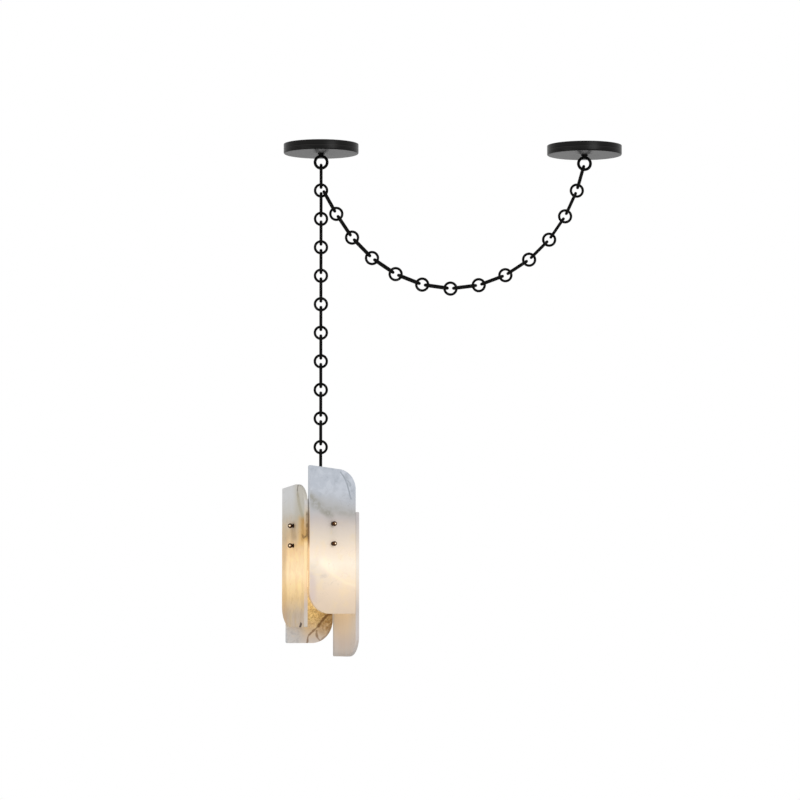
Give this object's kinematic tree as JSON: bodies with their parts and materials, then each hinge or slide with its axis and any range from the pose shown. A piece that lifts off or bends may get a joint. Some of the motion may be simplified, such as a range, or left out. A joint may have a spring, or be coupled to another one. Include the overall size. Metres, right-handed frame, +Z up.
{
  "type": "swag chain pendant light",
  "caption": "Pendant lamp of staggered stone slabs round one bulb, hung on a chain of rings and long links that swags between two round ceiling canopies.",
  "frame": {"origin": "centre of the left canopy at the ceiling plane, midway between its two box-screw slots", "axes": "+Z up, out of the canopy into the ceiling; +X from the left canopy to the right one, along the plane of the chain; +Y away from the side shown"},
  "size_m": [0.6892, 0.152, 1.037],
  "materials": {
    "canopy_black": "satin",
    "chain_black": "satin",
    "bronze_dark": "satin",
    "zinc_steel": "satin",
    "aged_brass": "satin",
    "brass_bright": "polished",
    "nickel": "satin",
    "phenolic": "matte",
    "pad_rubber": "matte",
    "bulb_glass": "frosted",
    "stone_front": "honed",
    "stone_left": "honed",
    "stone_back": "honed",
    "stone_right": "honed"
  },
  "bodies": {
    "ceiling": {"canopy_left": "canopy_black", "crossbar_left": "zinc_steel", "hang_loop_left": "chain_black", "loop_washer_left": "chain_black", "loop_nuts_left": "zinc_steel", "canopy_right": "canopy_black", "crossbar_right": "zinc_steel", "hang_loop_right": "chain_black", "loop_washer_right": "chain_black", "loop_nuts_right": "zinc_steel"},
    "swag": {"drop_link_01": "chain_black", "junction_ring": "chain_black", "swag_rings": "chain_black", "swag_links": "chain_black"},
    "link_02": {"drop_link_02": "chain_black"},
    "ring_02": {"drop_ring_02": "chain_black"},
    "link_03": {"drop_link_03": "chain_black"},
    "ring_03": {"drop_ring_03": "chain_black"},
    "link_04": {"drop_link_04": "chain_black"},
    "ring_04": {"drop_ring_04": "chain_black"},
    "link_05": {"drop_link_05": "chain_black"},
    "ring_05": {"drop_ring_05": "chain_black"},
    "link_06": {"drop_link_06": "chain_black"},
    "ring_06": {"drop_ring_06": "chain_black"},
    "link_07": {"drop_link_07": "chain_black"},
    "ring_07": {"drop_ring_07": "chain_black"},
    "link_08": {"drop_link_08": "chain_black"},
    "ring_08": {"drop_ring_08": "chain_black"},
    "link_09": {"drop_link_09": "chain_black"},
    "ring_09": {"drop_ring_09": "chain_black"},
    "link_10": {"drop_link_10": "chain_black"},
    "ring_10": {"drop_ring_10": "chain_black"},
    "link_11": {"drop_link_11": "chain_black"},
    "eye": {"hang_eye": "chain_black", "eye_sleeve": "bronze_dark", "eye_nuts": "zinc_steel", "holder_cap": "bronze_dark", "lampholder": "phenolic", "screw_shell": "brass_bright", "bulb_base": "nickel", "bulb_glass": "bulb_glass"},
    "lamp": {"bracket": "bronze_dark", "stone_pads": "pad_rubber", "ball_screws": "aged_brass", "screw_nuts": "zinc_steel", "stone_front": "stone_front", "stone_left": "stone_left", "stone_back": "stone_back", "stone_right": "stone_right"}
  },
  "joints": [
    {"name": "swag_sway", "type": "hinge", "parent": "ceiling", "child": "swag", "pos_m": [0, 0, -0.0515], "axis": [1, 0, 0.0011], "range_deg": [-10, 10]},
    {"name": "link_02_swing", "type": "hinge", "parent": "swag", "child": "link_02", "pos_m": [0, 0, -0.0942], "axis": [0, 1, 0], "range_deg": [-3, 8]},
    {"name": "ring_02_tilt", "type": "hinge", "parent": "link_02", "child": "ring_02", "pos_m": [0, 0, -0.1369], "axis": [1, 0, 0], "range_deg": [-8, 8]},
    {"name": "link_03_swing", "type": "hinge", "parent": "ring_02", "child": "link_03", "pos_m": [0, 0, -0.1521], "axis": [0, 1, 0], "range_deg": [-8, 8]},
    {"name": "ring_03_tilt", "type": "hinge", "parent": "link_03", "child": "ring_03", "pos_m": [0, 0, -0.1948], "axis": [1, 0, 0], "range_deg": [-8, 8]},
    {"name": "link_04_swing", "type": "hinge", "parent": "ring_03", "child": "link_04", "pos_m": [0, 0, -0.21], "axis": [0, 1, 0], "range_deg": [-8, 8]},
    {"name": "ring_04_tilt", "type": "hinge", "parent": "link_04", "child": "ring_04", "pos_m": [0, 0, -0.2527], "axis": [1, 0, 0], "range_deg": [-8, 8]},
    {"name": "link_05_swing", "type": "hinge", "parent": "ring_04", "child": "link_05", "pos_m": [0, 0, -0.2679], "axis": [0, 1, 0], "range_deg": [-8, 8]},
    {"name": "ring_05_tilt", "type": "hinge", "parent": "link_05", "child": "ring_05", "pos_m": [0, 0, -0.3106], "axis": [1, 0, 0], "range_deg": [-8, 8]},
    {"name": "link_06_swing", "type": "hinge", "parent": "ring_05", "child": "link_06", "pos_m": [0, 0, -0.3258], "axis": [0, 1, 0], "range_deg": [-8, 8]},
    {"name": "ring_06_tilt", "type": "hinge", "parent": "link_06", "child": "ring_06", "pos_m": [0, 0, -0.3685], "axis": [1, 0, 0], "range_deg": [-8, 8]},
    {"name": "link_07_swing", "type": "hinge", "parent": "ring_06", "child": "link_07", "pos_m": [0, 0, -0.3837], "axis": [0, 1, 0], "range_deg": [-8, 8]},
    {"name": "ring_07_tilt", "type": "hinge", "parent": "link_07", "child": "ring_07", "pos_m": [0, 0, -0.4264], "axis": [1, 0, 0], "range_deg": [-8, 8]},
    {"name": "link_08_swing", "type": "hinge", "parent": "ring_07", "child": "link_08", "pos_m": [0, 0, -0.4416], "axis": [0, 1, 0], "range_deg": [-8, 8]},
    {"name": "ring_08_tilt", "type": "hinge", "parent": "link_08", "child": "ring_08", "pos_m": [0, 0, -0.4843], "axis": [1, 0, 0], "range_deg": [-8, 8]},
    {"name": "link_09_swing", "type": "hinge", "parent": "ring_08", "child": "link_09", "pos_m": [0, 0, -0.4995], "axis": [0, 1, 0], "range_deg": [-8, 8]},
    {"name": "ring_09_tilt", "type": "hinge", "parent": "link_09", "child": "ring_09", "pos_m": [0, 0, -0.5422], "axis": [1, 0, 0], "range_deg": [-8, 8]},
    {"name": "link_10_swing", "type": "hinge", "parent": "ring_09", "child": "link_10", "pos_m": [0, 0, -0.5574], "axis": [0, 1, 0], "range_deg": [-8, 8]},
    {"name": "ring_10_tilt", "type": "hinge", "parent": "link_10", "child": "ring_10", "pos_m": [0, 0, -0.6001], "axis": [1, 0, 0], "range_deg": [-8, 8]},
    {"name": "link_11_swing", "type": "hinge", "parent": "ring_10", "child": "link_11", "pos_m": [0, 0, -0.6153], "axis": [0, 1, 0], "range_deg": [-8, 8]},
    {"name": "eye_tilt", "type": "hinge", "parent": "link_11", "child": "eye", "pos_m": [0, 0, -0.658], "axis": [1, 0, 0], "range_deg": [-8, 8]},
    {"name": "lamp_turn", "type": "hinge", "parent": "eye", "child": "lamp", "pos_m": [0, 0, -0.673], "axis": [0, 0, 1], "continuous": true}
  ]
}
